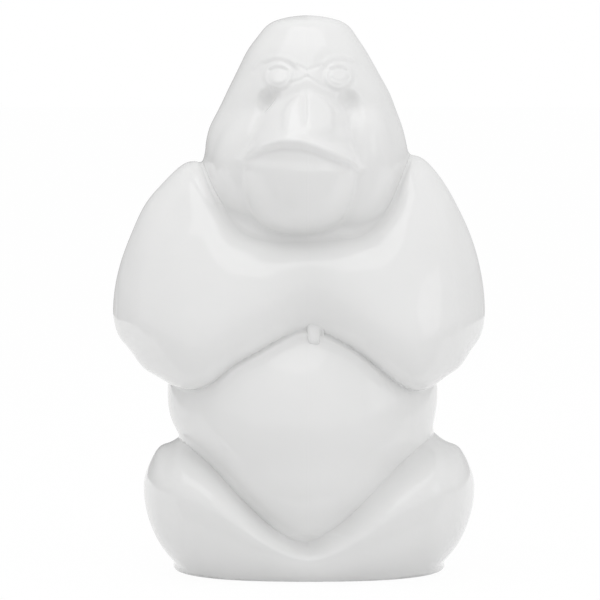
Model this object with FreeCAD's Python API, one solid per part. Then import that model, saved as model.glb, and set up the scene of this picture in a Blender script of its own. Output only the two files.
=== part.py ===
# A seated gorilla ornament in glazed ceramic, made as a slip caster makes it.
# Each section is a closed, hollow casting: head, torso, two arms and two legs.
# The sections are luted together on a closing slab with a felt pad under it.
# Lengths are in millimetres. The gorilla looks along -Y, +Z is up, and the
# origin lies at the middle of the felt face that it rests on. The mould seam
# is the plane x = 0. Right and left are the animal's own sides.

import math
import os

import FreeCAD
import Part

# Torso: one closed form from the belly's tip to the nape
torso_height = 220.0
torso_half_width = 74.0
belly_depth = 69.0
back_depth = 73.0
torso_sway = 3.6

# Head: the skull's egg, and the jowls, muzzle, ramp, nose and brows that stand on it
head_height = 125.0
head_half_width = 55.0
face_depth = 51.0
nape_depth = 59.0
head_sway = 1.4
jowl_height = 64.0
jowl_half_width = 23.5
jowl_depth = 27.0
jowl_spacing = 53.0
muzzle_height = 56.0
muzzle_half_width = 33.6
muzzle_depth = 48.8
ramp_height = 38.0
ramp_half_width = 34.0
ramp_depth = 49.0
nose_height = 29.0
nose_half_width = 12.5
nose_depth = 39.0
brow_reach = 34.0
brow_height = 15.0
brow_depth = 26.0
eye_radius = 9.0
eye_spacing = 29.5

# Arms: folded across the chest, from the seam to the outer shoulder
right_shoulder_bulge = 29.8
left_shoulder_bulge = 26.0
arm_height = 124.0
arm_depth = 100.0
fingertip_width = 9.5
fingertip_height = 18.0
fingertip_depth = 24.0
fingertip_round = 4.0

# Legs: crossed haunches around the belly's tip
leg_reach = 91.0
leg_height = 76.0
leg_depth = 138.0

# Closing slab and felt pad
plinth_height = 8.0
plinth_half_width = 75.0
plinth_fore = 62.0
plinth_aft = 58.0
plinth_edge_radius = 3.0
felt_thickness = 2.0
felt_stand_off = 0.5
felt_margin = 12.0
felt_clearance = 0.3
drain_diameter = 12.0

# Casting: the walls, the holes that let steam out, and the cuts' overrun
wall = 6.5
vent_diameter = 3.5
overrun = 5.0

# Where one section sits on another, as shares of the size that carries it
torso_seat_share = 0.055
head_seat_share = 0.727
elbow_share = 0.377
jowl_foot_share = 0.03
jowl_middle_share = 0.49
muzzle_foot_share = 0.05
muzzle_middle_share = 0.60
ramp_foot_share = 0.40
ramp_middle_share = 0.59
nose_foot_share = 0.468
nose_middle_share = 0.78
brow_level_share = 0.78
brow_middle_share = 0.53
eye_level_share = 0.73
eye_middle_share = 0.71
fingertip_level_share = 0.27
fingertip_middle_share = 0.58

# How square each form's sections are: 2 is an ellipse, more is squarer
torso_squareness = 2.25
head_squareness = 2.2
limb_squareness = 2.1
plinth_squareness = 2.5
section_points = 10

# Torso stations: height, half width, fore, aft, middle fore of the origin
torso_shares = [
    (0.00, 0.06, 0.08, 0.40, -0.61),
    (0.03, 0.20, 0.24, 0.80, -0.59),
    (0.09, 0.40, 0.49, 1.04, -0.46),
    (0.18, 0.66, 0.80, 1.03, -0.27),
    (0.28, 0.95, 0.97, 1.01, -0.13),
    (0.38, 1.00, 1.00, 1.00, -0.06),
    (0.51, 0.99, 0.83, 1.00, -0.01),
    (0.66, 0.99, 0.75, 0.99, 0.03),
    (0.82, 0.92, 0.65, 0.84, 0.09),
    (0.92, 0.72, 0.45, 0.59, 0.14),
    (1.00, 0.25, 0.18, 0.20, 0.17),
]

# Head stations: height, half width, fore, aft, middle fore of the origin
head_shares = [
    (0.00, 0.40, 0.42, 0.40, -0.10),
    (0.05, 0.60, 0.62, 0.60, -0.10),
    (0.15, 0.82, 0.86, 0.85, -0.09),
    (0.30, 0.97, 0.98, 0.98, -0.06),
    (0.42, 1.00, 1.00, 1.00, -0.02),
    (0.58, 0.89, 0.94, 0.95, 0.02),
    (0.72, 0.74, 0.89, 0.85, 0.04),
    (0.86, 0.57, 0.76, 0.69, 0.04),
    (0.96, 0.38, 0.47, 0.44, 0.04),
    (1.00, 0.12, 0.12, 0.12, 0.04),
]

# Arm stations: reach, middle height, middle depth, up, down, fore, aft, lean
arm_shares = [
    (0.00, 0.45, -0.47, 0.18, 0.22, 0.19, 0.20, 0.00),
    (0.20, 0.42, -0.47, 0.21, 0.23, 0.23, 0.26, 0.10),
    (0.35, 0.38, -0.43, 0.31, 0.27, 0.29, 0.36, 0.24),
    (0.48, 0.35, -0.38, 0.52, 0.32, 0.34, 0.48, 0.34),
    (0.58, 0.34, -0.34, 0.64, 0.34, 0.36, 0.56, 0.38),
    (0.72, 0.34, -0.29, 0.57, 0.32, 0.35, 0.59, 0.38),
    (0.86, 0.34, -0.21, 0.42, 0.23, 0.28, 0.48, 0.34),
    (0.96, 0.33, -0.15, 0.24, 0.11, 0.14, 0.25, 0.30),
    (1.00, 0.32, -0.12, 0.05, 0.03, 0.03, 0.05, 0.30),
]

# Leg stations: reach, middle height, middle depth, up, down, fore, aft, lean
leg_shares = [
    (0.00, 0.17, -0.04, 0.11, 0.26, 0.48, 0.40, 0.00),
    (0.22, 0.27, -0.05, 0.16, 0.36, 0.50, 0.42, 0.00),
    (0.42, 0.42, -0.06, 0.24, 0.48, 0.51, 0.44, 0.00),
    (0.60, 0.54, -0.07, 0.33, 0.56, 0.48, 0.44, 0.00),
    (0.76, 0.59, -0.08, 0.38, 0.54, 0.42, 0.40, 0.00),
    (0.88, 0.60, -0.08, 0.31, 0.42, 0.32, 0.31, 0.00),
    (0.96, 0.60, -0.09, 0.19, 0.24, 0.20, 0.19, 0.00),
    (1.00, 0.60, -0.09, 0.05, 0.06, 0.06, 0.06, 0.00),
]

# Jowl stations, from under the jaw up to the cheek
jowl_shares = [
    (0.00, 0.28, 0.28, 0.28, 0.00),
    (0.10, 0.60, 0.60, 0.60, 0.00),
    (0.28, 0.90, 0.90, 0.90, 0.00),
    (0.48, 1.00, 1.00, 1.00, 0.00),
    (0.68, 0.92, 0.92, 0.92, 0.00),
    (0.88, 0.64, 0.64, 0.64, 0.00),
    (1.00, 0.28, 0.28, 0.28, 0.00),
]

# Muzzle stations, from the bowl up to the lip
muzzle_shares = [
    (0.00, 0.26, 0.26, 0.60, 0.00),
    (0.08, 0.52, 0.54, 0.60, 0.00),
    (0.20, 0.77, 0.78, 0.60, 0.00),
    (0.36, 0.92, 0.92, 0.60, 0.00),
    (0.54, 0.99, 0.98, 0.60, 0.00),
    (0.72, 1.00, 1.00, 0.60, 0.00),
    (0.88, 0.95, 0.95, 0.60, 0.00),
    (1.00, 0.78, 0.80, 0.60, 0.00),
]

# Ramp stations, from the lip up to the root between the eyes
ramp_shares = [
    (0.00, 0.84, 0.86, 0.60, 0.00),
    (0.10, 0.96, 0.97, 0.60, 0.00),
    (0.22, 0.97, 0.99, 0.60, 0.00),
    (0.38, 0.84, 0.84, 0.60, 0.00),
    (0.56, 0.69, 0.67, 0.60, 0.00),
    (0.75, 0.52, 0.47, 0.60, 0.00),
    (0.90, 0.38, 0.32, 0.60, 0.00),
    (1.00, 0.24, 0.20, 0.60, 0.00),
]

# Nose stations, from over the lip up to the root
nose_shares = [
    (0.00, 0.82, 0.90, 0.60, 0.00),
    (0.10, 1.00, 0.98, 0.60, 0.00),
    (0.35, 1.00, 0.75, 0.60, 0.00),
    (0.60, 0.94, 0.51, 0.60, 0.00),
    (0.85, 0.78, 0.27, 0.60, 0.00),
    (1.00, 0.40, 0.02, 0.60, 0.00),
]

# Brow stations along its reach: level and middle, then the ridge's girth
brow_shares = [
    (0.00, -0.45, 0.40, 0.12, 0.12, 0.10, 0.12, 0.00),
    (0.12, -0.25, 0.20, 0.36, 0.40, 0.32, 0.50, 0.00),
    (0.30, 0.12, -0.18, 0.40, 0.46, 0.38, 0.60, 0.00),
    (0.50, 0.02, -0.30, 0.40, 0.46, 0.36, 0.60, 0.00),
    (0.70, 0.12, -0.18, 0.40, 0.46, 0.38, 0.60, 0.00),
    (0.88, -0.25, 0.20, 0.36, 0.40, 0.32, 0.50, 0.00),
    (1.00, -0.45, 0.40, 0.12, 0.12, 0.10, 0.12, 0.00),
]

# Hollow stations: height or reach, breadth, depth, and the middle's place
torso_hollow_shares = [
    (0.09, 0.32, 0.40, -0.40),
    (0.25, 0.78, 0.80, -0.14),
    (0.42, 0.90, 0.90, 0.01),
    (0.62, 0.80, 0.80, 0.19),
    (0.85, 0.60, 0.62, 0.24),
    (0.93, 0.40, 0.42, 0.22),
]
head_hollow_shares = [
    (0.54, 0.80, 0.84, 0.08),
    (0.72, 0.62, 0.72, 0.12),
    (0.86, 0.45, 0.55, 0.12),
    (0.94, 0.24, 0.34, 0.12),
]
leg_hollow_shares = [
    (0.45, 0.16, 0.40, 0.38),
    (0.72, 0.26, 0.34, 0.53),
    (0.86, 0.22, 0.24, 0.55),
    (0.92, 0.12, 0.13, 0.56),
]


def superellipse(angle, squareness):
    """The unit superellipse's point at an angle."""
    c = math.cos(angle)
    s = math.sin(angle)
    power = 2.0 / squareness
    u = math.copysign(abs(c) ** power, c)
    v = math.copysign(abs(s) ** power, s)
    return u, v


def closed_curve(points):
    """A smooth closed wire through the points, evenly numbered for a clean loft."""
    numbers = [float(i) for i in range(len(points) + 1)]
    curve = Part.BSplineCurve()
    curve.interpolate(Points=points, Parameters=numbers, PeriodicFlag=True)
    return Part.Wire([curve.toShape()])


def level_section(x, y, z, half_width, fore, aft, squareness):
    """A horizontal outline with its own reach fore and aft of its middle."""
    points = []
    for i in range(section_points):
        u, v = superellipse(2 * math.pi * i / section_points, squareness)
        reach = aft if v > 0 else fore
        points.append(FreeCAD.Vector(x + u * half_width, y + v * reach, z))
    return closed_curve(points)


def upright_section(x, y, z, up, down, fore, aft, lean):
    """An outline across a limb, whose upper part leans aft."""
    points = []
    for i in range(section_points):
        u, v = superellipse(2 * math.pi * i / section_points, limb_squareness)
        rise = v * (up if v > 0 else down)
        reach = u * (aft if u > 0 else fore)
        points.append(FreeCAD.Vector(x, y + reach + lean * rise, z + rise))
    return closed_curve(points)


def loft(sections):
    """A smooth solid through the sections; a pole is a vertex."""
    return Part.makeLoft(sections, True, False)


def stacked(shares, base, height, half_width, fore, aft, x, y, squareness):
    """A form of horizontal sections, stacked from its base up."""
    sections = []
    for at, wide, front, back, middle in shares:
        sections.append(level_section(
            x, y + middle * fore, base + at * height,
            wide * half_width, front * fore, back * aft, squareness,
        ))
    return loft(sections)


def limb(shares, reach, x, y, base, height, depth):
    """A form of upright sections from x outwards. A negative reach runs to -X."""
    sections = []
    for at, level, middle, up, down, front, back, lean in shares:
        sections.append(upright_section(
            x + at * reach, y + middle * depth, base + level * height,
            up * height, down * height, front * depth, back * depth, lean,
        ))
    return loft(sections)


def hollow(rings):
    """The space inside a casting, through oval rings that are deeper than wide."""
    wires = []
    for centre, half_depth, across in rings:
        fore = centre + FreeCAD.Vector(0, half_depth, 0)
        oval = Part.Ellipse(fore, centre + across, centre)
        wires.append(Part.Wire([oval.toShape()]))
    return Part.makeLoft(wires, True, True)


def torso_base():
    """The level of the belly's tip."""
    return plinth_height + torso_seat_share * torso_height


def torso_form():
    """The torso, whose belly tip sits between the legs."""
    return stacked(
        torso_shares, torso_base(), torso_height, torso_half_width, belly_depth, back_depth,
        -torso_sway, 0, torso_squareness,
    )


def torso_hollow():
    """The torso's inner space."""
    rings = []
    for at, wide, deep, middle in torso_hollow_shares:
        centre = FreeCAD.Vector(-torso_sway, middle * belly_depth, torso_base() + at * torso_height)
        breadth = wide * torso_half_width - wall
        rings.append((centre, deep * torso_half_width - wall, FreeCAD.Vector(breadth, 0, 0)))
    return hollow(rings)


def head_base():
    """The level of the head's lowest point."""
    return torso_base() + head_seat_share * torso_height


def skull_form():
    """The bell-shaped skull, widest at the cheeks."""
    return stacked(
        head_shares, head_base(), head_height, head_half_width, face_depth, nape_depth,
        -head_sway, 0, head_squareness,
    )


def head_hollow():
    """The skull's inner space, over the torso's top."""
    rings = []
    for at, wide, deep, middle in head_hollow_shares:
        centre = FreeCAD.Vector(-head_sway, middle * face_depth, head_base() + at * head_height)
        breadth = wide * head_half_width - wall
        rings.append((centre, deep * nape_depth - wall, FreeCAD.Vector(breadth, 0, 0)))
    return hollow(rings)


def jowls():
    """Two full lobes that hang at the sides of the muzzle."""
    base = head_base() + jowl_foot_share * head_height
    y = -jowl_middle_share * face_depth
    lobes = []
    for side in (-1, 1):
        x = -head_sway + side * jowl_spacing / 2
        lobes.append(stacked(
            jowl_shares, base, jowl_height, jowl_half_width, jowl_depth, jowl_depth,
            x, y, head_squareness,
        ))
    return lobes


def muzzle():
    """The bowl of the muzzle, deepest just under the lip."""
    base = head_base() + muzzle_foot_share * head_height
    y = -muzzle_middle_share * face_depth
    return stacked(
        muzzle_shares, base, muzzle_height, muzzle_half_width, muzzle_depth, muzzle_depth,
        -head_sway, y, head_squareness,
    )


def ramp():
    """The slope that widens from between the eyes down to the lip."""
    base = head_base() + ramp_foot_share * head_height
    y = -ramp_middle_share * face_depth
    return stacked(
        ramp_shares, base, ramp_height, ramp_half_width, ramp_depth, ramp_depth,
        -head_sway, y, head_squareness,
    )


def nose():
    """The low broad nose on the ramp."""
    base = head_base() + nose_foot_share * head_height
    y = -nose_middle_share * face_depth
    return stacked(
        nose_shares, base, nose_height, nose_half_width, nose_depth, nose_depth,
        -head_sway, y, head_squareness,
    )


def brow():
    """The ridge over both eyes."""
    base = head_base() + brow_level_share * head_height
    y = -brow_middle_share * face_depth
    start = -head_sway - brow_reach
    return limb(brow_shares, 2 * brow_reach, start, y, base, brow_height, brow_depth)


def eyes():
    """Two round eyes set under the brow."""
    z = head_base() + eye_level_share * head_height
    y = -eye_middle_share * face_depth
    balls = []
    for side in (-1, 1):
        x = -head_sway + side * eye_spacing / 2
        balls.append(Part.makeSphere(eye_radius, FreeCAD.Vector(x, y, z)))
    return balls


def elbow_level():
    """The level under the elbows."""
    return torso_base() + elbow_share * torso_height


def arm_form(side):
    """One folded arm, from the seam (side -1 is the animal's right)."""
    bulge = right_shoulder_bulge if side < 0 else left_shoulder_bulge
    reach = side * (torso_half_width + bulge) - torso_sway
    return limb(arm_shares, reach, 0, 0, elbow_level(), arm_height, arm_depth)


def leg_form(side):
    """One crossed leg with its haunch, from the seam."""
    return limb(leg_shares, side * leg_reach, 0, 0, 0, leg_height, leg_depth)


def leg_hollow(side):
    """One haunch's inner space."""
    rings = []
    for at, tall, deep, level in leg_hollow_shares:
        centre = FreeCAD.Vector(side * at * leg_reach, 0, level * leg_height)
        rings.append((centre, deep * leg_depth - wall, FreeCAD.Vector(0, 0, tall * leg_height)))
    return hollow(rings)


def fingertips():
    """The flat-ended fingers that show in the middle of the folded arms."""
    z = elbow_level() + fingertip_level_share * arm_height - fingertip_height / 2
    y = -fingertip_middle_share * arm_depth - fingertip_depth / 2
    corner = FreeCAD.Vector(0, y, z)
    block = Part.makeBox(fingertip_width, fingertip_depth, fingertip_height, corner)
    return block.makeFillet(fingertip_round, block.Edges)


def below(level):
    """A block from under everything up to a level."""
    half = leg_reach + leg_depth
    corner = FreeCAD.Vector(-half, -half, -leg_height)
    return Part.makeBox(2 * half, 2 * half, leg_height + level, corner)


def vents():
    """Thin holes that join the hollows, so that steam leaves through the drain."""
    radius = vent_diameter / 2
    level = torso_base() + wall
    across = Part.makeCylinder(
        radius, leg_reach, FreeCAD.Vector(-leg_reach / 2, 0, leg_height / 2), FreeCAD.Vector(1, 0, 0),
    )
    down = Part.makeCylinder(radius, level + torso_height / 4, FreeCAD.Vector(0, 0, -overrun))
    neck = torso_base() + torso_height - wall
    up = Part.makeCylinder(radius, 7 * wall, FreeCAD.Vector(0, 0, neck - 2 * wall))
    return [across, down, up]


def largest(shape):
    """The main solid, without slivers that a trim leaves beside it."""
    return max(shape.Solids, key=lambda solid: solid.Volume)


def make_torso():
    """The torso's casting, on which the others are luted."""
    return largest(torso_form().cut([torso_hollow()] + vents()))


def make_head():
    """The head's casting with its jowls, muzzle, ramp, nose, brow and eyes."""
    face = skull_form()
    for form in jowls() + [muzzle(), ramp(), nose(), brow()] + eyes():
        face = face.fuse(form)
    return largest(face.cut(torso_form()).cut([head_hollow()] + vents()))


def make_arm(side):
    """One arm, pressed solid because it is thin."""
    form = arm_form(side)
    if side > 0:
        form = form.fuse(fingertips())
    for neighbour in [torso_form(), skull_form(), muzzle()] + jowls():
        form = form.cut(neighbour)
    return largest(form)


def make_leg(side):
    """One leg's casting, cut level where it stands on the slab."""
    leg = leg_form(side).cut(below(plinth_height)).cut(torso_form())
    return largest(leg.cut([leg_hollow(side)] + vents()))


def slab_outline(inset, level):
    """The slab's rounded outline, drawn in by inset, as a face."""
    return Part.Face(level_section(
        0, 0, level, plinth_half_width - inset, plinth_fore - inset, plinth_aft - inset,
        plinth_squareness,
    ))


def make_plinth():
    """The closing slab, with a rounded lower edge, the felt's seat and the drain."""
    thickness = plinth_height - felt_stand_off
    slab = slab_outline(0, felt_stand_off).extrude(FreeCAD.Vector(0, 0, thickness))
    lower = [e for e in slab.Edges if e.BoundBox.ZMax < plinth_height - thickness / 2]
    slab = slab.makeFillet(plinth_edge_radius, lower)
    seat = slab_outline(felt_margin, 0).extrude(FreeCAD.Vector(0, 0, felt_thickness))
    drain = Part.makeCylinder(drain_diameter / 2, plinth_height + overrun)
    return largest(slab.cut([seat, drain]))


def make_felt_pad():
    """The felt pad in its seat, standing a little proud of the slab."""
    outline = slab_outline(felt_margin + felt_clearance, 0)
    return outline.extrude(FreeCAD.Vector(0, 0, felt_thickness))


def main():
    """Makes every piece and writes each to its own file."""
    os.makedirs("parts", exist_ok=True)
    pieces = {
        "torso": make_torso(),
        "head": make_head(),
        "right_arm": make_arm(-1),
        "left_arm": make_arm(1),
        "right_leg": make_leg(-1),
        "left_leg": make_leg(1),
        "plinth": make_plinth(),
        "felt_pad": make_felt_pad(),
    }
    for name, shape in pieces.items():
        shape.exportStep(os.path.join("parts", name + ".step"))


main()
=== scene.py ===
"""A seated gorilla ornament in white glazed ceramic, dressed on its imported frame.

Each section of the gorilla is one closed skin, worked out in millimetres. Torso, arms and
legs are rings round a spine. The head is a fan of rays, stopped where they meet its clay,
so the face is modelled in the same skin. Where two sections meet, both skins are pushed
out to one shared fillet, as luting clay is wiped smooth before glazing.

"Clay" in a function's name means a distance: how many millimetres outside that section's
skin a point lies, and less than zero inside it. The gorilla looks along -Y.
"""

import bpy
import numpy as np
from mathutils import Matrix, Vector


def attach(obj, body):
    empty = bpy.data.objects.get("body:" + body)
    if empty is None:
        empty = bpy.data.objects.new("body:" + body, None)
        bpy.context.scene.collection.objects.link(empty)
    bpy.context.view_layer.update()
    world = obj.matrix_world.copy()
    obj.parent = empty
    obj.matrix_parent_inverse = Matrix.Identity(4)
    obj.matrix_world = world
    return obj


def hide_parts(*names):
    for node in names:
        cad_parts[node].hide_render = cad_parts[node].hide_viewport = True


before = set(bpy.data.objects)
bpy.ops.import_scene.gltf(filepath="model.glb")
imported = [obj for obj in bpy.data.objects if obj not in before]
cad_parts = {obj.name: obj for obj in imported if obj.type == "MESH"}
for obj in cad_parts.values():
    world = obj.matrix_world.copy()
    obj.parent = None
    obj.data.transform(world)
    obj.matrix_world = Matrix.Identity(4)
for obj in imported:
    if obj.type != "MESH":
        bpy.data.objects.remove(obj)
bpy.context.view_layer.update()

# Millimetres to metres
MM = 0.001

# Rings along a spine and points round each ring
TORSO_GRID = (300, 320)
HEAD_GRID = (330, 290)
ARM_GRID = (230, 280)
FINGERTIP_GRID = (60, 96)
LEG_GRID = (200, 300)
PLINTH_GRID = (90, 400)

# Stations in a spline's fine table
SPLINE_SAMPLES = 1200

# Fillets where sections are luted
ELBOW_FILLET = 3.0
THIGH_FILLET = 8.0
PLINTH_FILLET = 14.0
JAW_FILLET = 10.0
SHOULDER_FILLET = 26.0

# The groove at the neck, and the low rims of clay beside the folded arms and the thighs
NECK_GROOVE = 7.0
ARM_RIM = 2.0
BELLY_RIM = 0.7

# How far past a joint hidden skin starts to sink, how steeply, and over what distance
OVERLAP = 3.0
SINK = 1.6
SINK_RUN = 4.0

# Steps that carry a skin to the fillet, the share of the gap in each, and the most inward
LUTING_STEPS = 6
LUTING_SHARE = 0.9
MOST_INWARD = 1.0

# Rays from inside the head: where they come from, where they start and how they close in
HEAD_MIDDLE = (-2.0, -12.0, 237.0)
RAY_START = 92.0
RAY_STEPS = 34
RAY_SHARE = 0.85

# How far from a joint the glaze is darkened, partly pooled glaze and partly painted shade, for
# small joints, the body and the legs
FINE_POOL_AND_SHADE = 1.5
POOL_AND_SHADE = 3.0
# On the legs the darkening reaches up over the thighs' tops: painted shade under the belly and
# arms.
LEG_POOL_AND_SHADE = 20.0

# The level at which the pooled glaze and painted shade have faded to half
POOL_AND_SHADE_FOOT = 14.0

# The legs stay over this level, under which the slab hides them
LEG_FOOT = 1.0

# The block of the fingertips: its middle, its half sizes, and how rounded its edges are,
# where 1 is an ellipsoid and 0 a box
FINGERTIP_MIDDLE = (3.6, -52.0, 134.3)
FINGERTIP_HALVES = (4.9, 9.0, 6.6)
FINGERTIP_EDGE = 0.42

# The slab's oval, its top and the level of its foot over the felt
PLINTH_HALF_WIDTH = 75.0
PLINTH_FORE = 62.0
PLINTH_AFT = 58.0
PLINTH_SQUARENESS = 2.5
PLINTH_TOP = 8.0
PLINTH_FOOT = 0.5
PLINTH_EDGE_TOP = 1.7


def through(at, values):
    """A natural cubic spline through the stations, read from a fine table."""
    at = np.asarray(at, float)
    values = np.asarray(values, float)
    gap = np.diff(at)
    count = len(at)
    system = np.eye(count)
    slope = np.zeros(count)
    inner = np.arange(1, count - 1)
    system[inner, inner - 1] = gap[:-1]
    system[inner, inner] = 2 * (gap[:-1] + gap[1:])
    system[inner, inner + 1] = gap[1:]
    rise = np.diff(values) / gap
    slope[1:-1] = 6 * np.diff(rise)
    bend = np.linalg.solve(system, slope)
    fine = np.linspace(at[0], at[-1], SPLINE_SAMPLES)
    k = np.clip(np.searchsorted(at, fine) - 1, 0, count - 2)
    left = fine - at[k]
    right = at[k + 1] - fine
    table = (
        (bend[k] * right ** 3 + bend[k + 1] * left ** 3) / (6 * gap[k])
        + (values[k] / gap[k] - bend[k] * gap[k] / 6) * right
        + (values[k + 1] / gap[k] - bend[k + 1] * gap[k] / 6) * left
    )
    return fine, table


class Form:
    """A rounded form: an ellipsoid whose girths vary along its spine.

    A point's place along the spine runs from -1 to 1. Its place across is a
    superellipse's radius, with girths of its own to each of four sides. The
    skin is where the squares of both add up to one.
    """

    def __init__(self, along, low, high, rows, squareness):
        """The spine runs from low to high. The rows are described over torso_form."""
        self.along = along
        self.middle = (low + high) / 2
        self.half = (high - low) / 2
        self.squareness = squareness
        rows = np.asarray(rows, float)
        place = rows[:, 0]
        bulge = np.sqrt(1 - ((place - self.middle) / self.half) ** 2)
        self.tables = []
        for column in range(1, rows.shape[1]):
            values = rows[:, column]
            if 3 <= column <= 6:  # the four girths
                values = values / bulge
            self.tables.append(through(place, values))

    def ring(self, place):
        """The ring's two centres, four girths and lean at a place on the spine."""
        return [np.interp(place, fine, table) for fine, table in self.tables]

    def split(self, points):
        """Points as the place on the spine and the two directions across it."""
        if self.along == "up":
            return points[..., 2], points[..., 0], points[..., 1]
        return points[..., 0], points[..., 2], points[..., 1]

    def level(self, points):
        """One on the skin, less inside and more outside."""
        place, first, second = self.split(points)
        c1, c2, plus1, minus1, plus2, minus2, lean = self.ring(place)
        u = first - c1
        v = second - c2 - lean * u
        u = np.abs(u) / np.where(u > 0, plus1, minus1)
        v = np.abs(v) / np.where(v > 0, plus2, minus2)
        power = self.squareness
        across = (u ** power + v ** power) ** (2 / power)
        return np.sqrt(across + ((place - self.middle) / self.half) ** 2)

    def places(self, rings):
        """Rings from end to end, closer together towards the ends: a cosine of the count."""
        return self.middle - self.half * np.cos(np.linspace(0, np.pi, rings))

    def skin(self, place, around):
        """Grid points: a superellipse round each place, as large as an ellipse's chord there."""
        place = place[:, None]
        angle = np.linspace(0, 2 * np.pi, around, endpoint=False)[None, :]
        chord = np.sqrt(np.maximum(1 - ((place - self.middle) / self.half) ** 2, 0))
        c1, c2, plus1, minus1, plus2, minus2, lean = self.ring(place)
        cosine = np.cos(angle)
        sine = np.sin(angle) if self.along == "up" else -np.sin(angle)
        power = 2 / self.squareness
        u = np.sign(cosine) * np.abs(cosine) ** power * chord
        v = np.sign(sine) * np.abs(sine) ** power * chord
        u = u * np.where(u > 0, plus1, minus1)
        v = v * np.where(v > 0, plus2, minus2) + lean * u
        place = place + 0 * angle
        if self.along == "up":
            return np.stack([c1 + u, c2 + v, place], -1)
        return np.stack([place, c2 + v, c1 + u], -1)


def gradient(level, points, step=0.05):
    """The slope of a level at the points, from one small step along each axis."""
    here = level(points)
    slope = np.empty(points.shape)
    for axis in range(3):
        moved = points.copy()
        moved[..., axis] += step
        slope[..., axis] = (level(moved) - here) / step
    return here, slope


def distance(form, points):
    """Millimetres from the form's skin, to first order: (level - 1) / slope."""
    here, slope = gradient(form.level, points)
    return (here - 1) / np.maximum(np.linalg.norm(slope, axis=-1), 1e-4)


def melt(first, second, reach):
    """The smaller of two distances, less a cubic fillet where they are within reach."""
    near = np.maximum(reach - np.abs(first - second), 0) / reach
    return np.minimum(first, second) - near ** 3 * reach / 6


def carve(first, second, reach):
    """The larger of two distances, with a rounded edge."""
    return -melt(-first, -second, reach)


def closed_faces(rings, around):
    """Corners, and how many each face has: quads between rings and a fan at each pole."""
    i = np.arange(rings - 3)[:, None] * around
    j = np.arange(around)[None, :]
    after = (j + 1) % around
    quads = np.stack([1 + i + j, 1 + i + after, 1 + i + around + after, 1 + i + around + j], -1)
    j = j[0]
    after = after[0]
    start = np.stack([0 * j, 1 + after, 1 + j], -1)
    base = 1 + (rings - 3) * around
    end = np.stack([0 * j + base + around, base + j, base + after], -1)
    loops = np.concatenate([quads.reshape(-1), start.reshape(-1), end.reshape(-1)])
    sizes = np.concatenate([np.full(quads.size // 4, 4), np.full(2 * around, 3)])
    return loops.astype(np.int32), sizes.astype(np.int32)


def make_mesh(name, points, node, material, crease, flat_end=None):
    """Grid points with a pole at each end become a closed mesh in metres.

    The faces are smooth, but for the fan round a flat end: 0 is the first, 1 the last.
    crease is how deep in a joint each point lies, by which the glaze is darkened: pooled glaze
    and painted shade.
    """
    rings, around, _ = points.shape
    body = points[1:-1].reshape(-1, 3)
    vertices = np.concatenate([points[:1, :1].reshape(1, 3), body, points[-1:, :1].reshape(1, 3)])
    loops, sizes = closed_faces(rings, around)
    starts = np.concatenate([[0], np.cumsum(sizes)[:-1]]).astype(np.int32)
    mesh = bpy.data.meshes.new(name)
    mesh.vertices.add(len(vertices))
    mesh.vertices.foreach_set("co", (vertices * MM).astype(np.float32).reshape(-1))
    mesh.loops.add(len(loops))
    mesh.loops.foreach_set("vertex_index", loops)
    mesh.polygons.add(len(sizes))
    mesh.polygons.foreach_set("loop_start", starts)
    mesh.polygons.foreach_set("loop_total", sizes)
    smooth = np.ones(len(sizes), bool)
    if flat_end is not None:
        first = (rings - 3 + flat_end) * around
        smooth[first:first + around] = False
    mesh.polygons.foreach_set("use_smooth", smooth)
    mesh.update(calc_edges=True)
    # How deep in a joint each point lies, kept for darkening the glaze: pooled glaze and painted
    # shade.
    pooled_and_shaded = np.concatenate([crease[0, :1], crease[1:-1].reshape(-1), crease[-1, :1]])
    layer = mesh.attributes.new("pooling_and_shade", "FLOAT", "POINT")
    layer.data.foreach_set("value", pooled_and_shaded.astype(np.float32))
    piece = bpy.data.objects.new(name, mesh)
    bpy.context.collection.objects.link(piece)
    mesh.materials.append(material)
    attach(piece, "root")
    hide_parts(node)
    return piece


# The gorilla's four big forms, in millimetres.
# A row holds the place on the spine, then the ring's centre across (torso and skull) or up
# (arms and legs), its centre in depth, its girths to +X and -X or up and down, its girths
# aft and fore, and how far it leans aft.


def torso_form():
    """Belly, chest and back, on a spine from the belly's tip to the nape."""
    rows = [
        (26, -3.6, -41.0, 15.0, 15.0, 40.0, 17.0, 0),
        (32, -3.6, -37.0, 22.5, 22.5, 60.0, 25.5, 0),
        (42, -3.6, -31.0, 34.0, 34.0, 76.0, 38.5, 0),
        (52, -3.6, -24.0, 44.5, 44.5, 77.0, 49.5, 0),
        (62, -3.6, -17.0, 54.0, 54.0, 76.0, 57.5, 0),
        (72, -3.6, -12.0, 64.5, 64.5, 75.0, 63.5, 0),
        (82, -3.6, -9.0, 71.5, 71.5, 74.0, 67.2, 0),
        (95, -3.6, -6.0, 74.3, 74.3, 73.5, 69.0, 0),
        (112, -3.6, -3.0, 73.8, 73.8, 73.0, 67.0, 0),
        (132, -3.6, -1.0, 73.0, 73.0, 73.0, 57.0, 0),
        (165, -3.6, 2.0, 73.0, 73.0, 72.0, 52.5, 0),
        (188, -3.6, 4.5, 71.0, 71.0, 67.0, 50.0, 0),
        (208, -3.6, 7.5, 67.0, 65.0, 55.0, 42.5, 0),
        (222, -3.6, 9.5, 62.5, 56.0, 43.0, 31.0, 0),
        (233, -3.6, 11.5, 49.0, 41.0, 27.0, 20.5, 0),
    ]
    return Form("up", 20.1, 240.0, rows, 2.2)


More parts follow.
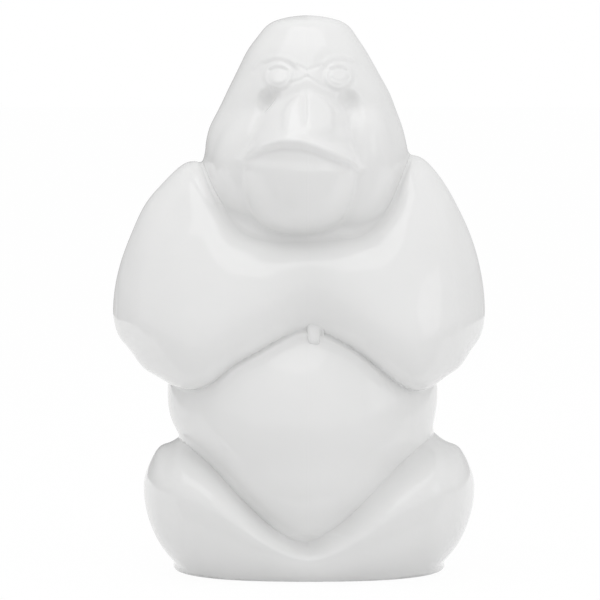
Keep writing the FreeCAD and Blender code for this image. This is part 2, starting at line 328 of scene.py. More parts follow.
def skull_form():
    """The bell of the head, widest at the jowls."""
    rows = [
        (184, -4.0, -5.0, 29.0, 29.0, 30.0, 27.0, 0),
        (190, -4.0, -5.0, 38.5, 38.5, 43.0, 36.0, 0),
        (198, -3.5, -4.5, 45.0, 44.0, 51.0, 40.0, 0),
        (207, -2.5, -4.0, 50.0, 49.0, 56.0, 43.5, 0),
        (217, -1.6, -3.0, 53.4, 53.4, 58.5, 48.5, 0),
        (229, -1.4, -2.0, 55.0, 55.0, 59.0, 48.0, 0),
        (244, -1.6, 0.0, 52.8, 52.8, 58.5, 46.0, 0),
        (253, -1.0, 1.0, 48.9, 48.9, 57.0, 46.6, 0),
        (262, -0.6, 1.5, 45.0, 45.0, 54.0, 47.0, 0),
        (270, -0.8, 2.0, 40.9, 40.9, 51.0, 45.2, 0),
        (279, -1.1, 2.0, 36.2, 36.2, 47.0, 41.9, 0),
        (288, -1.3, 2.0, 31.0, 31.0, 41.0, 36.9, 0),
        (296, -0.9, 2.0, 25.2, 25.2, 32.5, 30.0, 0),
        (302, -0.8, 2.0, 17.5, 17.5, 21.0, 20.5, 0),
    ]
    return Form("up", 180.0, 304.8, rows, 2.25)


def arms_form():
    """Both folded arms on one spine, from shoulder to shoulder."""
    rows = [
        (-104.6, 143.5, -13.0, 22.0, 13.0, 21.0, 12.0, 0.30),
        (-99.0, 144.0, -17.0, 38.0, 20.0, 35.0, 20.0, 0.31),
        (-92.0, 144.7, -21.5, 53.0, 29.0, 48.0, 27.0, 0.34),
        (-84.0, 145.0, -26.0, 63.5, 34.7, 56.0, 32.0, 0.36),
        (-73.0, 145.3, -31.0, 74.0, 40.4, 58.5, 35.3, 0.38),
        (-62.0, 145.5, -34.0, 80.3, 42.3, 56.0, 36.5, 0.38),
        (-52.0, 146.5, -37.5, 68.0, 40.0, 48.0, 34.5, 0.34),
        (-43.0, 148.0, -41.0, 48.0, 35.0, 40.0, 31.0, 0.28),
        (-31.0, 151.5, -45.0, 32.0, 31.5, 32.0, 27.0, 0.20),
        (-18.0, 155.5, -47.0, 25.0, 28.5, 26.0, 22.5, 0.10),
        (-2.0, 159.0, -47.0, 22.0, 27.0, 20.0, 19.0, 0.00),
        (14.0, 157.0, -47.5, 23.5, 28.0, 23.0, 21.0, 0.06),
        (27.0, 152.5, -45.5, 30.0, 30.5, 30.0, 25.5, 0.17),
        (37.0, 149.0, -42.0, 42.0, 34.5, 38.0, 30.0, 0.26),
        (46.0, 146.8, -38.5, 62.0, 39.0, 47.0, 33.5, 0.33),
        (55.0, 145.5, -35.0, 81.5, 42.0, 54.0, 36.0, 0.37),
        (66.0, 145.0, -31.0, 76.8, 40.6, 58.0, 35.3, 0.38),
        (76.0, 145.0, -26.5, 64.3, 34.6, 55.5, 32.0, 0.36),
        (84.0, 144.5, -21.0, 50.5, 28.0, 47.0, 27.0, 0.34),
        (90.0, 144.0, -16.5, 37.0, 19.5, 35.0, 20.0, 0.31),
        (94.2, 143.5, -13.0, 22.0, 13.0, 21.0, 12.0, 0.30),
    ]
    return Form("across", -107.4, 96.4, rows, 2.05)


def legs_form():
    """Both crossed legs on one spine, from haunch to haunch."""
    half = [
        (0.0, 13.0, -5.5, 8.5, 20.0, 55.0, 66.0, 0),
        (11.0, 15.5, -6.0, 10.0, 22.0, 57.0, 67.5, 0),
        (22.0, 21.0, -6.5, 12.5, 27.5, 58.5, 69.0, 0),
        (36.0, 30.5, -8.0, 17.0, 36.0, 60.0, 70.0, 0),
        (50.0, 39.0, -9.0, 23.0, 42.5, 60.5, 67.0, 0),
        (62.0, 43.5, -10.0, 28.0, 44.0, 59.0, 62.0, 0),
        (70.0, 45.0, -11.0, 28.2, 42.5, 55.0, 57.0, 0),
        (78.0, 46.0, -11.5, 23.6, 36.0, 47.0, 48.0, 0),
        (84.0, 46.0, -12.0, 20.0, 27.0, 36.0, 37.0, 0),
        (88.5, 46.0, -12.0, 11.5, 16.0, 21.0, 22.0, 0),
    ]
    rows = [(-r[0],) + r[1:] for r in half[:0:-1]] + half
    return Form("across", -91.0, 91.0, rows, 2.15)


TORSO = torso_form()
SKULL = skull_form()
ARMS = arms_form()
LEGS = legs_form()


def egg(points, centre, girths):
    """Millimetres from an ellipsoid's skin, to first order."""
    girths = np.asarray(girths, float)
    q = (points - np.asarray(centre, float)) / girths
    reach = np.linalg.norm(q, axis=-1)
    return reach * (reach - 1) / np.maximum(np.linalg.norm(q / girths, axis=-1), 1e-6)


def step_up(value, width):
    """A smooth step from 0 to 1 over the width."""
    return 1 / (1 + np.exp(-np.clip(4 * value / width, -30, 30)))


def stroke(points, path, width):
    """One along a line drawn on the face in x and z, with a bell's fall to its sides."""
    x = points[..., 0]
    z = points[..., 2]
    least = np.full(x.shape, 1e6)
    for (x0, z0), (x1, z1) in zip(path[:-1], path[1:]):
        run = (x1 - x0) ** 2 + (z1 - z0) ** 2
        share = np.clip(((x - x0) * (x1 - x0) + (z - z0) * (z1 - z0)) / run, 0, 1)
        away = (x - x0 - share * (x1 - x0)) ** 2 + (z - z0 - share * (z1 - z0)) ** 2
        least = np.minimum(least, away)
    return np.exp(-least / width ** 2)


def arc(x, z, radius, start, stop, flat=1.0):
    """A curved line of points for a stroke, by angles in degrees from +X towards +Z."""
    turn = np.radians(np.linspace(start, stop, 9))
    return list(zip(x + radius * np.cos(turn), z + flat * radius * np.sin(turn)))


# The ramp of the muzzle: its lowest level, its rise for each millimetre aft, the share that
# turns a height over it into a distance, and the nose that stands on it with its groove
LIP_LEVEL = 236.0
RAMP_PITCH = 0.80
RAMP_SHARE = 0.78
NOSE_HALF_WIDTH = 13.3
NOSE_RISE = 1.7
NOSE_GROOVE = 1.4

# How rounded the edge is where the ramp ends
LIP_EDGE = 2.2


def ramp_top(points):
    """The slope from between the eyes to the lip, arched across, with the nose on it."""
    x = points[..., 0]
    y = points[..., 1]
    z = points[..., 2]
    low = 1 - np.clip((z - LIP_LEVEL) / 22.0, 0, 1)
    crown = -2.0 - 7.0 * low
    arch = np.where(x < crown, 0.026 + 0.022 * low, 0.026) * (x - crown) ** 2
    height = 237.6 + RAMP_PITCH * (y + 77.9) - arch
    half_width = NOSE_HALF_WIDTH - 0.06 * np.clip(z - 250.0, 0, 12) ** 2
    nose = step_up(half_width - np.abs(x + 0.5), 3.2)
    nose = nose * step_up(z - 241.0, 8.0) * step_up(265.5 - z, 5.0)
    groove = np.exp(-((x + 2.2) / 1.5) ** 2) * step_up(z - 246.0, 4.0) * step_up(262.0 - z, 5.0)
    height = height + nose * (NOSE_RISE + 0.28 * arch) - NOSE_GROOVE * groove
    return (z - height) * RAMP_SHARE


def muzzle_body(points):
    """A full oval body, deepest just under the lip, drawn in quickly above and slowly below."""
    middle = np.array([-4.3, -26.9, 226.0])
    half_width, depth, up, down = 35.5, 51.0, 22.0, 41.0
    x = (points[..., 0] - middle[0]) / half_width
    y = (points[..., 1] - middle[1]) / depth
    z = points[..., 2] - middle[2]
    z = z / np.where(z > 0, up, down)
    power = 2.35
    level = ((x ** 2 + y ** 2) ** (power / 2) + np.abs(z) ** power) ** (1 / power)
    return np.linalg.norm(points - middle, axis=-1) * (1 - 1 / np.maximum(level, 1e-3))


def ramp(points):
    """The muzzle's upper side: a tent that widens from the eyes down to the lip."""
    x = points[..., 0]
    z = points[..., 2]
    below = 265.0 - z
    flank = (np.abs(x + 1.0 + 0.10 * below) - (12.0 + 0.70 * below)) * 0.8
    body = egg(points, (-4.0, -29.0, 238.0), (33.5, 48.8, 34.0))
    return carve(carve(body, flank, 7.0), ramp_top(points), LIP_EDGE)


# Lines drawn on the face, as points in x and z
BROW_LINES = (
    [(-30.0, 276.5), (-26.5, 280.0), (-18.3, 281.6), (-10.2, 279.9), (-5.9, 277.0)],
    [(7.0, 277.0), (11.3, 280.6), (17.8, 282.0), (24.8, 280.8), (29.5, 276.8)],
)
FROWN_LINES = (
    [(-6.5, 277.2), (-1.1, 274.2), (7.0, 277.2)],
    [(-10.2, 267.6), (-5.5, 268.8), (-1.1, 271.0)],
    [(-1.1, 271.0), (4.0, 268.0), (8.6, 265.3)],
)
LIP_LINE = [
    (-36.2, 226.0), (-31.5, 231.2), (-24.8, 234.4), (-15.3, 236.8),
    (-4.7, 236.6), (4.0, 234.0), (13.7, 230.2), (21.9, 226.4), (26.5, 221.5),
]
LID_LINES = (
    [(-21.0, 274.4), (-16.5, 275.3), (-11.5, 274.6)],
    [(10.2, 274.9), (15.0, 275.4), (19.5, 274.6)],
    arc(16.6, 272.6, 5.2, 215, 325, 0.8),
)
EYES = ((-16.7, 271.5), (16.0, 271.5))

# Millimetres that the fine modelling stands out, or lies in where less than zero
BROW_RISE = 0.4
UNDER_BROW = -0.2
FROWN = -0.35
BETWEEN_EYES = 0.9
EYE_RIM = 0.75
EYE_RISE = 1.2
AROUND_EYE = -0.28
LID = -0.45
LIP_RISE = 1.4
UNDER_LIP = -1.8


def face_relief(points):
    """Millimetres that the fine modelling stands out or lies in, on the front of the face.

    Brows, frown, lids and lip are strokes. Each eye is a disc with a rim round it. A lens
    lies in under the lip, down to a nearly level chord.
    """
    across = points[..., 0]
    level = points[..., 2]
    front = step_up(-28.0 - points[..., 1], 4.0)
    relief = np.zeros(front.shape)
    for line in BROW_LINES:
        relief += BROW_RISE * stroke(points, line, 1.7)
        below = [(x, z - 2.6) for x, z in line]
        relief += UNDER_BROW * stroke(points, below, 1.2)
    for line in FROWN_LINES:
        relief += FROWN * stroke(points, line, 1.0)
    relief += BETWEEN_EYES * np.exp(-((across + 0.5) / 7.0) ** 2 - ((level - 272.0) / 6.5) ** 2)
    for x, z in EYES:
        radius = np.hypot(across - x, (level - z) * 1.05)
        tilt = 1 - 0.14 * (level - z)
        rim = EYE_RIM * np.exp(-((radius - 6.4) / 1.4) ** 2)
        relief += rim + EYE_RISE * step_up(4.8 - radius, 1.8) * tilt
        relief += AROUND_EYE * np.exp(-((radius - 9.0) / 1.2) ** 2)
    for line in LID_LINES:
        relief += LID * stroke(points, line, 0.9)
    relief += LIP_RISE * stroke(points, LIP_LINE, 2.5)
    lip_x, lip_z = np.array(LIP_LINE).T
    lip = np.interp(across, lip_x, lip_z)
    chord = 224.0 - 0.06 * across
    relief += UNDER_LIP * step_up(lip - 3.2 - level, 2.5) * step_up(level - chord, 4.0)
    return relief * front


# The point that the skull's distances are measured from
SKULL_MIDDLE = (-1.4, 0.0, 242.0)

# The eggs of clay that the head is built up from, or carved with: each has a middle and
# three girths, in x, y and z, and the reach of the fillet round it
FOREHEAD = ((-0.5, -30.0, 262.0), (27.0, 17.2, 13.5), 6.0)
CHEEKS = (
    ((-27.0, -29.5, 231.0), (12.5, 19.0, 23.0), 9.0),
    ((29.0, -32.0, 231.0), (14.5, 19.0, 23.0), 12.0),
)
JOWLS = (
    ((-27.5, -26.0, 223.5), (24.0, 27.0, 29.0), 8.0),
    ((22.0, -26.0, 218.5), (24.0, 27.0, 31.0), 8.0),
)
EYE_SOCKETS = (
    ((-22.5, -50.5, 258.0), (8.5, 14.0, 9.5), 3.0),
    ((23.5, -50.5, 258.0), (8.5, 12.5, 9.5), 3.0),
)


def head_clay(points):
    """Millimetres from the head's skin: the skull with every form of the face melted on."""
    level = np.maximum(SKULL.level(points), 1e-3)
    head = np.linalg.norm(points - np.array(SKULL_MIDDLE), axis=-1) * (1 - 1 / level)
    for middle, girths, reach in (FOREHEAD, *CHEEKS, *JOWLS):
        head = melt(head, egg(points, middle, girths), reach)
    for middle, girths, reach in EYE_SOCKETS:
        head = carve(head, -egg(points, middle, girths), reach)
    muzzle = carve(muzzle_body(points), ramp_top(points), LIP_EDGE)
    head = melt(head, ramp(points), 5.0)
    head = melt(head, muzzle, 3.0)
    return head - face_relief(points)


def head_skin(rings, around):
    """Rays from inside the head, closer together at the face, stopped at its skin.

    The rays turn from straight down to straight up, and round from the nape. A share of
    each turn's sine draws them together.
    """
    middle = np.array(HEAD_MIDDLE)
    turn = np.linspace(0, 1, rings)[:, None]
    turn = turn - 0.07 * np.sin(2 * np.pi * turn - 0.3)
    turn = np.pi * (turn - turn[0]) / (turn[-1] - turn[0])
    angle = np.linspace(0, 2 * np.pi, around, endpoint=False)[None, :]
    angle = angle + 0.55 * np.sin(angle)
    side = np.sin(turn)
    aim = np.stack([-side * np.sin(angle), side * np.cos(angle), -np.cos(turn) + 0 * angle], -1)
    reach = np.full(aim.shape[:2], RAY_START)
    for _ in range(RAY_STEPS):
        points = middle + aim * reach[..., None]
        reach = reach - RAY_SHARE * head_clay(points)
    return middle + aim * reach[..., None]


def torso_clay(points):
    """Millimetres from the torso's skin."""
    return distance(TORSO, points)


def arms_clay(points):
    """Millimetres from the arms' skin."""
    return distance(ARMS, points)


def legs_clay(points):
    """Millimetres from the legs' skin."""
    return distance(LEGS, points)


def plinth_clay(points):
    """Millimetres from the slab: an oval side and a flat top, with a rounded edge."""
    power = PLINTH_SQUARENESS
    x = points[..., 0] / PLINTH_HALF_WIDTH
    y = points[..., 1] / np.where(points[..., 1] > 0, PLINTH_AFT, PLINTH_FORE)
    oval = ((np.abs(x) ** power + np.abs(y) ** power) ** (1 / power) - 1) * PLINTH_FORE
    return carve(oval, points[..., 2] - PLINTH_TOP, 1.0)


def nearest(*clays):
    """The least of several distances."""
    def least(points):
        found = clays[0](points)
        for clay in clays[1:]:
            found = np.minimum(found, clay(points))
        return found
    return least


def all_clay(points):
    """Millimetres from the whole figure, with a fillet wherever two sections meet.

    The arms' fillet is wide at the shoulders and narrow at the elbows. On the belly a low
    rim stands under the folded arms and another along the thighs. The jaw's fillet and the
    groove round the neck are larger on the gorilla's right, the thigh's on its left, and
    the slab's at the front.
    """
    x = points[..., 0]
    y = points[..., 1]
    z = points[..., 2]
    arms = arms_clay(points)
    head = head_clay(points)
    legs = legs_clay(points)
    on_belly = step_up(-30.0 - y, 12.0)
    arm_rim = np.exp(-((arms - 3.0) / 2.0) ** 2) * step_up(152.0 - z, 6.0) * on_belly
    arm_rim = arm_rim * step_up(45.0 - np.abs(x + 3.6), 12.0)
    thigh_rim = np.exp(-((legs - 2.2) / 1.5) ** 2)
    body = torso_clay(points) - ARM_RIM * arm_rim
    body = body - BELLY_RIM * thigh_rim * on_belly
    shoulder = step_up(z - 174.0, 16.0)
    body = melt(body, arms, ELBOW_FILLET + (SHOULDER_FILLET - ELBOW_FILLET) * shoulder)
    beside_neck = 0.55 + 0.45 * step_up(-x - 25.0, 20.0)
    body = body + NECK_GROOVE * beside_neck * np.exp(-(np.maximum(head, 0) / 9.0) ** 2)
    body = melt(body, head, JAW_FILLET * (1.0 + 0.9 * step_up(-x - 20.0, 20.0)))
    left_thigh = step_up(x, 30.0) * step_up(70.0 - x, 20.0)
    body = melt(body, legs, THIGH_FILLET * (1.0 + 2.4 * left_thigh))
    front = step_up(-40.0 - y, 24.0)
    return melt(body, plinth_clay(points), PLINTH_FILLET * (0.2 + 0.8 * front))


def lute(points, own, others, pool_and_shade=POOL_AND_SHADE):
    """Skin moved along its normal to the fillet that it shares with its neighbours.

    Up to the line where both are equally near, the skin meets the fillet. Past that
    line it sinks, so that it stays hidden inside the neighbour.
    Returns the new points and how deep in a crease each one lies, from 0 to 1.
    """
    _, outward = gradient(own, points, 0.2)
    outward = outward / np.maximum(np.linalg.norm(outward, axis=-1, keepdims=True), 1e-9)
    away = others(points)
    shift = np.zeros(away.shape)
    near = away < SHOULDER_FILLET * 1.1
    base = points[near]
    push = outward[near]
    move = np.zeros(len(base))
    for _ in range(LUTING_STEPS):
        move = move - LUTING_SHARE * all_clay(base + push * move[:, None])
        move = np.clip(move, -MOST_INWARD, SHOULDER_FILLET * 0.5)
    here = base + push * move[:, None]
    past = own(here) - others(here)
    shift[near] = move - SINK * np.clip(past - OVERLAP, 0, SINK_RUN)
    # Nearness to a joint, which darkens the glaze: pooled glaze and painted shade.
    crease = np.exp(-np.abs(away) / pool_and_shade)
    return points + outward * shift[..., None], crease


def close_half(points, crease, flat_end):
    """A half form's seam ring is laid flat on the middle plane, with a pole in its middle."""
    edge = 0 if flat_end == 0 else -1
    points[edge, :, 0] = 0.0
    hub = np.broadcast_to(points[edge].mean(axis=0), points[edge].shape)[None]
    shade = crease[edge][None]
    if flat_end == 0:
        return np.concatenate([hub, points]), np.concatenate([shade, crease])
    return np.concatenate([points, hub]), np.concatenate([crease, shade])


def half_places(form, rings, side):
    """Rings of one half, from its tip to the seam at the middle plane or the other way."""
    places = form.places(rings * 2)
    seam = 0.0
    beside_seam = 0.05
    clear_of_seam = 0.4
    if side < 0:
        return np.concatenate([places[places < -clear_of_seam], [-beside_seam, seam]])
    return np.concatenate([[seam, beside_seam], places[places > clear_of_seam]])


def make_half(form, size, side, own, others, node, material, pool_and_shade=POOL_AND_SHADE):
    """One arm or one leg: half of a form that spans both sides.

    The pooled glaze and painted shade fade out towards the foot of a leg.
    """
    rings, around = size
    points = form.skin(half_places(form, rings, side), around)
    points, crease = lute(points, own, others, pool_and_shade)
    points[..., 2] = np.maximum(points[..., 2], LEG_FOOT)
    crease = crease * step_up(points[..., 2] - POOL_AND_SHADE_FOOT, POOL_AND_SHADE_FOOT)
    flat_end = 1 if side < 0 else 0
    points, crease = close_half(points, crease, flat_end)
    return make_mesh(node + "_skin", points, node, material, crease, flat_end)


def fingertip_skin(rings, around):
    """A flat-ended block of clay: a superellipsoid, a little narrower at its lower end.

    A slot down its front parts the fingers.
    """
    turn = np.linspace(0, np.pi, rings)[:, None]
    angle = np.linspace(0, 2 * np.pi, around, endpoint=False)[None, :]
    edge = FINGERTIP_EDGE
    level = -np.sign(np.cos(turn)) * np.abs(np.cos(turn)) ** edge
    chord = np.abs(np.sin(turn)) ** edge
    x = np.sign(np.cos(angle)) * np.abs(np.cos(angle)) ** edge * chord
    y = np.sign(np.sin(angle)) * np.abs(np.sin(angle)) ** edge * chord
    half_width, half_depth, half_height = FINGERTIP_HALVES
    width = half_width + 0.5 * level
    slot = 3.0 * np.exp(-((x * width - 2.9) / 0.8) ** 2) * step_up(-level, 0.8) * (y < 0)
    return np.stack([
        FINGERTIP_MIDDLE[0] + width * x,
        FINGERTIP_MIDDLE[1] + half_depth * y + slot + 0.8 * level,
        FINGERTIP_MIDDLE[2] + half_height * level + 0 * angle,
    ], -1)


def plinth_skin(rings, around):
    """A profile carried round an oval: flat foot, rounded edge, upright side, flat top."""
    edge_inset = 0.018
    quarter = rings // 4
    eighth = rings // 8
    foot = np.linspace(0, 1, quarter)[:, None]
    bend = np.linspace(0, np.pi / 2, quarter)[1:, None]
    side = np.linspace(0, 1, eighth)[1:, None]
    top = np.linspace(0, 1, rings - 2 * quarter - eighth + 2)[1:, None]
    inset = np.concatenate([
        1 - foot * (1 - edge_inset),
        edge_inset - edge_inset * np.sin(bend),
        0 * side,
        top,
    ])
    level = np.concatenate([
        PLINTH_FOOT + 0 * foot,
        PLINTH_FOOT + (PLINTH_EDGE_TOP - PLINTH_FOOT) * (1 - np.cos(bend)),
        PLINTH_EDGE_TOP + (PLINTH_TOP - PLINTH_EDGE_TOP) * side,
        PLINTH_TOP + 0 * top,
    ])
    angle = np.linspace(0, 2 * np.pi, around, endpoint=False)[None, :]
    cosine = np.cos(angle)
    sine = np.sin(angle)
    power = 2 / PLINTH_SQUARENESS
    x = PLINTH_HALF_WIDTH * np.sign(cosine) * np.abs(cosine) ** power * (1 - inset)
    y = np.sign(sine) * np.abs(sine) ** power * (1 - inset)
    y = y * np.where(sine > 0, PLINTH_AFT, PLINTH_FORE)
    return np.stack([x, y, level + 0 * angle], -1)


class Nodes:
    """A material's node tree, with short ways to add and join nodes."""

    def __init__(self, name):
        self.material = bpy.data.materials.new(name)
        self.material.use_nodes = True
        self.tree = self.material.node_tree
        self.shader = self.tree.nodes["Principled BSDF"]
        self.place = self.tree.nodes.new("ShaderNodeTexCoord").outputs["Object"]

    def join(self, source, target):
        """A link from an output to an input."""
        self.tree.links.new(source, target)

    def node(self, kind, **inputs):
        """A new node with its inputs joined to outputs or set to values."""
        made = self.tree.nodes.new(kind)
        for name, value in inputs.items():
            socket = made.inputs[name.replace("_", " ")]
            if hasattr(value, "links"):
                self.join(value, socket)
            else:
                socket.default_value = value
        return made

    def noise(self, scale, detail, roughness=0.5, stretch=None):
        """Cloudy values from 0 to 1, with features about 1 / scale metres across."""
        place = self.place
        if stretch is not None:
            place = self.node("ShaderNodeMapping", Vector=place, Scale=stretch).outputs[0]
        return self.node("ShaderNodeTexNoise", Vector=place, Scale=scale, Detail=detail,
                         Roughness=roughness).outputs["Fac"]

    def spread(self, value, low, high, to_low, to_high):
        """A value's range from low to high carried to a new range, and held at its ends."""
        made = self.node("ShaderNodeMapRange", Value=value)
        names = ("From Min", "From Max", "To Min", "To Max")
        for name, number in zip(names, (low, high, to_low, to_high)):
            made.inputs[name].default_value = number
        return made.outputs[0]

    def maths(self, kind, first, second):
        """Two values added, multiplied or otherwise worked out together."""
        made = self.tree.nodes.new("ShaderNodeMath")
        made.operation = kind
        for socket, value in zip(made.inputs, (first, second)):
            if hasattr(value, "links"):
                self.join(value, socket)
            else:
                socket.default_value = value
        return made.outputs[0]

    def tint(self, factor, first, second):
        """One colour into another by a factor."""
        made = self.tree.nodes.new("ShaderNodeMix")
        made.data_type = "RGBA"
        self.join(factor, made.inputs["Factor"])
        for socket, value in ((made.inputs["A"], first), (made.inputs["B"], second)):
            if hasattr(value, "links"):
                self.join(value, socket)
            else:
                socket.default_value = (*value, 1.0)
        return made.outputs["Result"]

    def bump(self, height, distance, under=None):
        """The normal over a height of so many metres, on top of another bump if given."""
        made = self.node("ShaderNodeBump", Height=height, Distance=distance)
        if under is not None:
            self.join(under, made.inputs["Normal"])
        return made.outputs[0]


def white_glaze():
    """Clear glaze over white slip: smooth and wet-looking, a little uneven.

    It is darker in creases and joints, partly from glaze that pooled there and partly from
    painted shade, and waves and fine ripples in it bend the reflections. A low line on the middle
    plane is left by the mould.
    """
    thin_white = (0.895, 0.896, 0.892)
    full_white = (0.915, 0.915, 0.912)
    pooled_and_shaded_white = (0.72, 0.725, 0.72)
    m = Nodes("white glaze")
    cloud = m.spread(m.noise(16.0, 3.0), 0.35, 0.65, 0.0, 1.0)
    colour = m.tint(cloud, thin_white, full_white)
    # Painted shade: how deep a point lies in a joint darkens the glaze towards a grey, for the
    # shade that falls in creases, in joints and on the thighs under the belly, as well as for
    # glaze that pooled there.
    pooling_and_shade = m.node("ShaderNodeAttribute")
    pooling_and_shade.attribute_name = "pooling_and_shade"
    depth = m.maths("MULTIPLY", pooling_and_shade.outputs["Fac"], 0.40)
    colour = m.tint(depth, colour, pooled_and_shaded_white)
    m.join(colour, m.shader.inputs["Base Color"])
    m.join(m.spread(m.noise(40.0, 2.0), 0.3, 0.7, 0.03, 0.06), m.shader.inputs["Roughness"])
    m.shader.inputs["IOR"].default_value = 1.52
    split = m.node("ShaderNodeSeparateXYZ", Vector=m.place)
    off = m.maths("ABSOLUTE", m.maths("ADD", split.outputs["X"], 0.0008), 0.0)
    line = m.spread(off, 0.0, 0.0007, 1.0, 0.0)
    relief = m.bump(line, 0.00003)
    relief = m.bump(m.noise(30.0, 1.0), 0.0011, under=relief)
    relief = m.bump(m.noise(330.0, 2.0), 0.00003, under=relief)
    m.join(relief, m.shader.inputs["Normal"])
    return m.material


def pressed_felt():
    """Pale grey felt: short tangled fibres, soft and without shine."""
    deep_grey = (0.50, 0.49, 0.46)
    pale_grey = (0.68, 0.67, 0.64)
    worn_grey = (0.56, 0.55, 0.52)
    m = Nodes("pressed felt")
    fibres = m.noise(900.0, 6.0, 0.7, (1.0, 0.45, 1.0))
    patch = m.noise(60.0, 3.0)
    colour = m.tint(m.spread(fibres, 0.3, 0.7, 0.0, 1.0), deep_grey, pale_grey)
    colour = m.tint(m.spread(patch, 0.4, 0.7, 0.0, 0.35), colour, worn_grey)
    m.join(colour, m.shader.inputs["Base Color"])
    m.shader.inputs["Roughness"].default_value = 0.95
    m.shader.inputs["Sheen Weight"].default_value = 0.3
    m.join(m.bump(fibres, 0.0004), m.shader.inputs["Normal"])
    return m.material


GLAZE = white_glaze()
FELT = pressed_felt()

torso_neighbours = nearest(arms_clay, legs_clay, head_clay)
rings, around = TORSO_GRID
skin = TORSO.skin(TORSO.places(rings), around)
skin, crease = lute(skin, torso_clay, torso_neighbours)
make_mesh("torso_skin", skin, "torso", GLAZE, crease)

skin, crease = lute(head_skin(*HEAD_GRID), head_clay, nearest(torso_clay, arms_clay))
make_mesh("head_skin", skin, "head", GLAZE, crease)

for side, name in ((-1, "right_arm"), (1, "left_arm")):
    make_half(ARMS, ARM_GRID, side, arms_clay, nearest(torso_clay, head_clay), name, GLAZE)
skin = fingertip_skin(*FINGERTIP_GRID)
# Pooled glaze and painted shade where the fingertips meet the arm.
crease = np.exp(-np.abs(arms_clay(skin)) / FINE_POOL_AND_SHADE)
make_mesh("left_fingertips", skin, "left_arm", GLAZE, crease)
leg_neighbours = nearest(torso_clay, plinth_clay)
# The legs' darkening reaches wide: painted shade that the belly and arms cast over the thighs'
# tops.
for side, name in ((-1, "right_leg"), (1, "left_leg")):
    make_half(LEGS, LEG_GRID, side, legs_clay, leg_neighbours, name, GLAZE, LEG_POOL_AND_SHADE)

skin = plinth_skin(*PLINTH_GRID)
# Pooled glaze and painted shade where the slab meets the legs.
crease = np.exp(-np.abs(legs_clay(skin)) / POOL_AND_SHADE)
make_mesh("plinth_skin", skin, "plinth", GLAZE, crease)

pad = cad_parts["felt_pad"]
pad.data.materials.clear()
pad.data.materials.append(FELT)


# The studio, in metres: grey cards stand round the table for the glaze to reflect. Each
# card's three greys lie at these shares of its height.
CARD_FOOT = 0.01
CARD_HEIGHT = 2.8
CARD_STOPS = (0.10, 0.13, 0.95)

# Upright cards: name, the two ends of the foot, greys from foot to top
UPRIGHT_CARDS = (
    ("front_card", (-1.9, -2.6), (2.1, -2.6), (0.82, 0.88, 1.0)),
    ("left_card", (-1.9, 0.6), (-1.9, -2.6), (0.50, 0.80, 1.0)),
    ("right_card", (2.1, -2.6), (2.1, 0.6), (0.50, 0.80, 1.0)),
    ("back_left_card", (0.0, 1.8), (-3.5, 1.2), (0.42, 0.50, 1.0)),
    ("back_right_card", (3.5, 1.2), (0.0, 1.8), (0.62, 0.68, 1.0)),
)
# The card that lies on the table in front of the ornament, just over it
TABLE_CARD_LEVEL = 0.0003
TABLE_CARD_CORNERS = ((-4.0, -2.6), (4.0, -2.6), (4.0, -0.1), (-4.0, -0.1))
TABLE_CARD_GREYS = (0.50, 0.50, 0.50)

# The camera's tilt, its distance and the level that it looks at
CAMERA_TILT = np.radians(3.5)
CAMERA_DISTANCE = 1.8
CAMERA_AIM = 0.1525


def flat_sheet(name, corners, material):
    """Four corners, in metres, make a plain sheet that belongs to the studio."""
    mesh = bpy.data.meshes.new(name)
    mesh.from_pydata(corners, [], [(0, 1, 2, 3)])
    sheet = bpy.data.objects.new(name, mesh)
    bpy.context.collection.objects.link(sheet)
    mesh.materials.append(material)
    return sheet


def seen_directly(tree):
    """One for rays from the camera and for those that a mirror or glass sends on."""
    path = tree.nodes.new("ShaderNodeLightPath")
    most = path.outputs["Is Camera Ray"]
    for name in ("Is Glossy Ray", "Is Transmission Ray"):
        larger = tree.nodes.new("ShaderNodeMath")
        larger.operation = "MAXIMUM"
        tree.links.new(most, larger.inputs[0])
        tree.links.new(path.outputs[name], larger.inputs[1])
        most = larger.outputs[0]
    return most


def floor_material():
    """White table: it takes the ornament's shadow, and glows white where that is faint."""
    material = bpy.data.materials.new("table")
    material.use_nodes = True
    tree = material.node_tree
    shader = tree.nodes["Principled BSDF"]
    shader.inputs["Base Color"].default_value = (0.86, 0.86, 0.86, 1.0)
    shader.inputs["Roughness"].default_value = 0.9
    glow = tree.nodes.new("ShaderNodeEmission")
    blend = tree.nodes.new("ShaderNodeMixShader")
    share = tree.nodes.new("ShaderNodeMath")
    share.operation = "MULTIPLY"
    tree.links.new(seen_directly(tree), share.inputs[0])
    share.inputs[1].default_value = 0.95
    glow.inputs["Strength"].default_value = 1.01
    tree.links.new(share.outputs[0], blend.inputs[0])
    tree.links.new(shader.outputs[0], blend.inputs[1])
    tree.links.new(glow.outputs[0], blend.inputs[2])
    tree.links.new(blend.outputs[0], tree.nodes["Material Output"].inputs["Surface"])
    return material


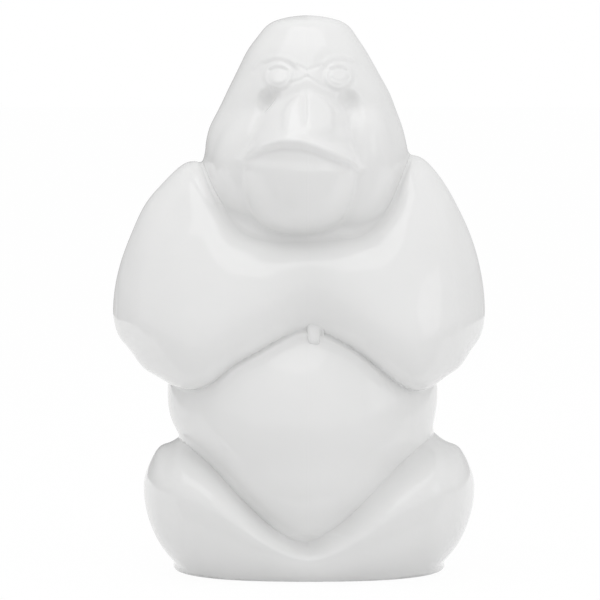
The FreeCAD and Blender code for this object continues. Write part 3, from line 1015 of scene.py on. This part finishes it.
def card_material(name, greys):
    """A grey card that fades from its foot to its top, for the glaze to reflect."""
    material = bpy.data.materials.new(name)
    material.use_nodes = True
    tree = material.node_tree
    tree.nodes.remove(tree.nodes["Principled BSDF"])
    glow = tree.nodes.new("ShaderNodeEmission")
    place = tree.nodes.new("ShaderNodeTexCoord")
    split = tree.nodes.new("ShaderNodeSeparateXYZ")
    ramp = tree.nodes.new("ShaderNodeValToRGB")
    height = tree.nodes.new("ShaderNodeMath")
    height.operation = "MULTIPLY"
    height.inputs[1].default_value = 1 / CARD_HEIGHT
    tree.links.new(place.outputs["Object"], split.inputs[0])
    tree.links.new(split.outputs["Z"], height.inputs[0])
    tree.links.new(height.outputs[0], ramp.inputs[0])
    ramp.color_ramp.elements.new(0.5)
    for stop, position, grey in zip(ramp.color_ramp.elements, CARD_STOPS, greys):
        stop.position = position
        stop.color = (grey, grey, grey, 1.0)
    tree.links.new(ramp.outputs[0], glow.inputs["Color"])
    tree.links.new(glow.outputs[0], tree.nodes["Material Output"].inputs["Surface"])
    return material


def reflected_card(name, corners, greys):
    """A card that only shows in the glaze: it casts no shadow and isn't seen itself."""
    card = flat_sheet(name, corners, card_material(name, greys))
    card.visible_camera = False
    card.visible_diffuse = False
    card.visible_shadow = False


def room():
    """White where it is seen, and soft pale light for the rest."""
    world = bpy.data.worlds.new("room")
    bpy.context.scene.world = world
    world.use_nodes = True
    tree = world.node_tree
    soft = tree.nodes["Background"]
    soft.inputs["Color"].default_value = (1.0, 1.0, 1.0, 1.0)
    soft.inputs["Strength"].default_value = 0.76
    white = tree.nodes.new("ShaderNodeBackground")
    white.inputs["Color"].default_value = (1.0, 1.0, 1.0, 1.0)
    blend = tree.nodes.new("ShaderNodeMixShader")
    tree.links.new(seen_directly(tree), blend.inputs[0])
    tree.links.new(soft.outputs[0], blend.inputs[1])
    tree.links.new(white.outputs[0], blend.inputs[2])
    tree.links.new(blend.outputs[0], tree.nodes["World Output"].inputs["Surface"])


def lamp(name, place, target, size, power):
    """A soft square lamp that faces its target."""
    light = bpy.data.lights.new(name, "AREA")
    light.size = size
    light.energy = power
    made = bpy.data.objects.new(name, light)
    bpy.context.collection.objects.link(made)
    made.location = place
    aim = Vector(target) - Vector(place)
    made.rotation_euler = aim.to_track_quat("-Z", "Y").to_euler()
    made.visible_camera = False


def make_camera():
    """A long lens in front of the ornament, a little over it and tilted down to it."""
    lens = bpy.data.cameras.new("camera")
    lens.lens = 195.54
    lens.sensor_width = 36.0
    lens.shift_x = -0.015
    lens.shift_y = -0.0133
    lens.clip_end = 60.0
    camera = bpy.data.objects.new("camera", lens)
    bpy.context.collection.objects.link(camera)
    back = CAMERA_DISTANCE * np.cos(CAMERA_TILT)
    up = CAMERA_DISTANCE * np.sin(CAMERA_TILT)
    camera.location = (0, -back, CAMERA_AIM + up)
    camera.rotation_euler = (np.pi / 2 - CAMERA_TILT, 0, 0)
    bpy.context.scene.camera = camera


flat_sheet("table", [(-30, -30, 0), (30, -30, 0), (30, 60, 0), (-30, 60, 0)], floor_material())
for name, start, stop, greys in UPRIGHT_CARDS:
    corners = [
        (*start, CARD_FOOT), (*start, CARD_HEIGHT), (*stop, CARD_HEIGHT), (*stop, CARD_FOOT),
    ]
    reflected_card(name, corners, greys)
corners = [(x, y, TABLE_CARD_LEVEL) for x, y in TABLE_CARD_CORNERS]
reflected_card("table_card", corners, TABLE_CARD_GREYS)
room()
lamp("overhead", (-0.2, -0.35, 1.7), (0, 0, 0.12), 1.3, 4.4)
lamp("side", (1.7, -0.9, 0.9), (0, 0, 0.15), 1.0, 2.0)
make_camera()
bpy.context.scene.view_settings.view_transform = "Standard"
